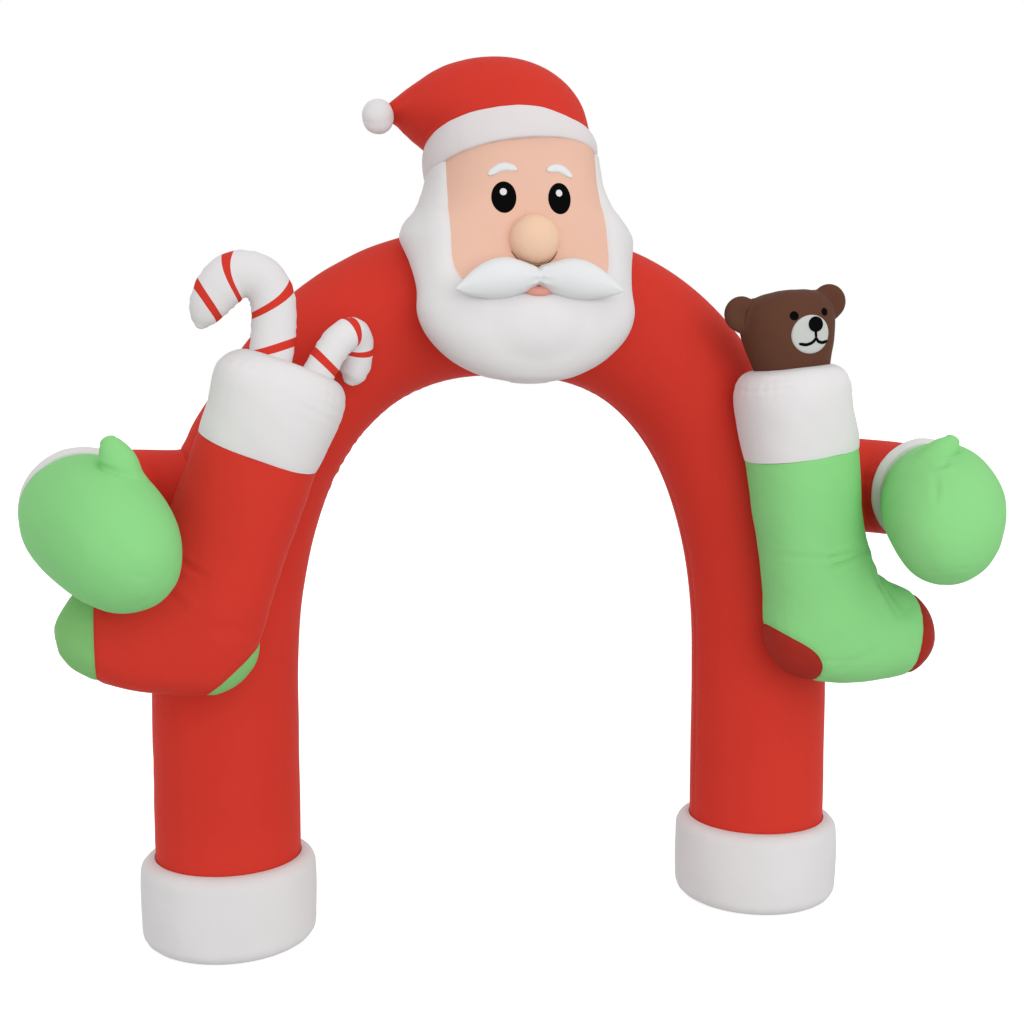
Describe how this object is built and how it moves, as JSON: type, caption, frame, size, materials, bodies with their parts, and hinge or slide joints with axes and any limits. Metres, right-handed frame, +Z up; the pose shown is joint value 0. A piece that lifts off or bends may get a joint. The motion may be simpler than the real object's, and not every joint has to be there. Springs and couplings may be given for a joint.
{
  "type": "inflatable arch",
  "caption": "Free-standing inflatable walk-through arch with a bearded folk figure's head on top, bent arms with mittens, and stockings with canes and a bear hung in front.",
  "frame": {"origin": "on the floor, under the middle of the whole arch's box", "axes": "+Z up, +X across the passage towards the stocking with the bear, +Y along the passage, away from the figure's face"},
  "size_m": [3.0678, 1.176, 2.842],
  "materials": {
    "red_cloth": "satin woven polyester, taut",
    "dark_red_cloth": "satin woven polyester",
    "white_cloth": "satin woven polyester, off-white",
    "mint_cloth": "satin woven polyester",
    "leaf_cloth": "satin woven polyester",
    "skin_cloth": "satin woven polyester",
    "lip_cloth": "satin woven polyester",
    "brown_cloth": "satin woven polyester"
  },
  "bodies": {
    "root": {"arch_tube": "red_cloth", "foot_cuff_left": "white_cloth", "foot_cuff_right": "white_cloth", "beard": "white_cloth", "face_panel": "skin_cloth", "nose": "skin_cloth", "moustache": "white_cloth", "lower_lip": "lip_cloth", "hat_band": "white_cloth", "hat_crown": "red_cloth", "pompom": "white_cloth", "arm_left": "red_cloth", "arm_right": "red_cloth", "wrist_band_left": "white_cloth", "wrist_band_right": "white_cloth", "mitten_left": "mint_cloth", "mitten_right": "mint_cloth", "thumb_left": "mint_cloth", "thumb_right": "mint_cloth", "stocking_cuff_left": "white_cloth", "stocking_cuff_right": "white_cloth", "stocking_leg_left": "red_cloth", "stocking_leg_right": "mint_cloth", "stocking_toe_left": "leaf_cloth", "stocking_toe_right": "dark_red_cloth", "stocking_heel_left": "leaf_cloth", "stocking_heel_right": "dark_red_cloth", "cane_large": "white_cloth", "cane_small": "white_cloth", "bear_head": "brown_cloth", "bear_ear_left": "brown_cloth", "bear_ear_right": "brown_cloth"}
  },
  "joints": []
}
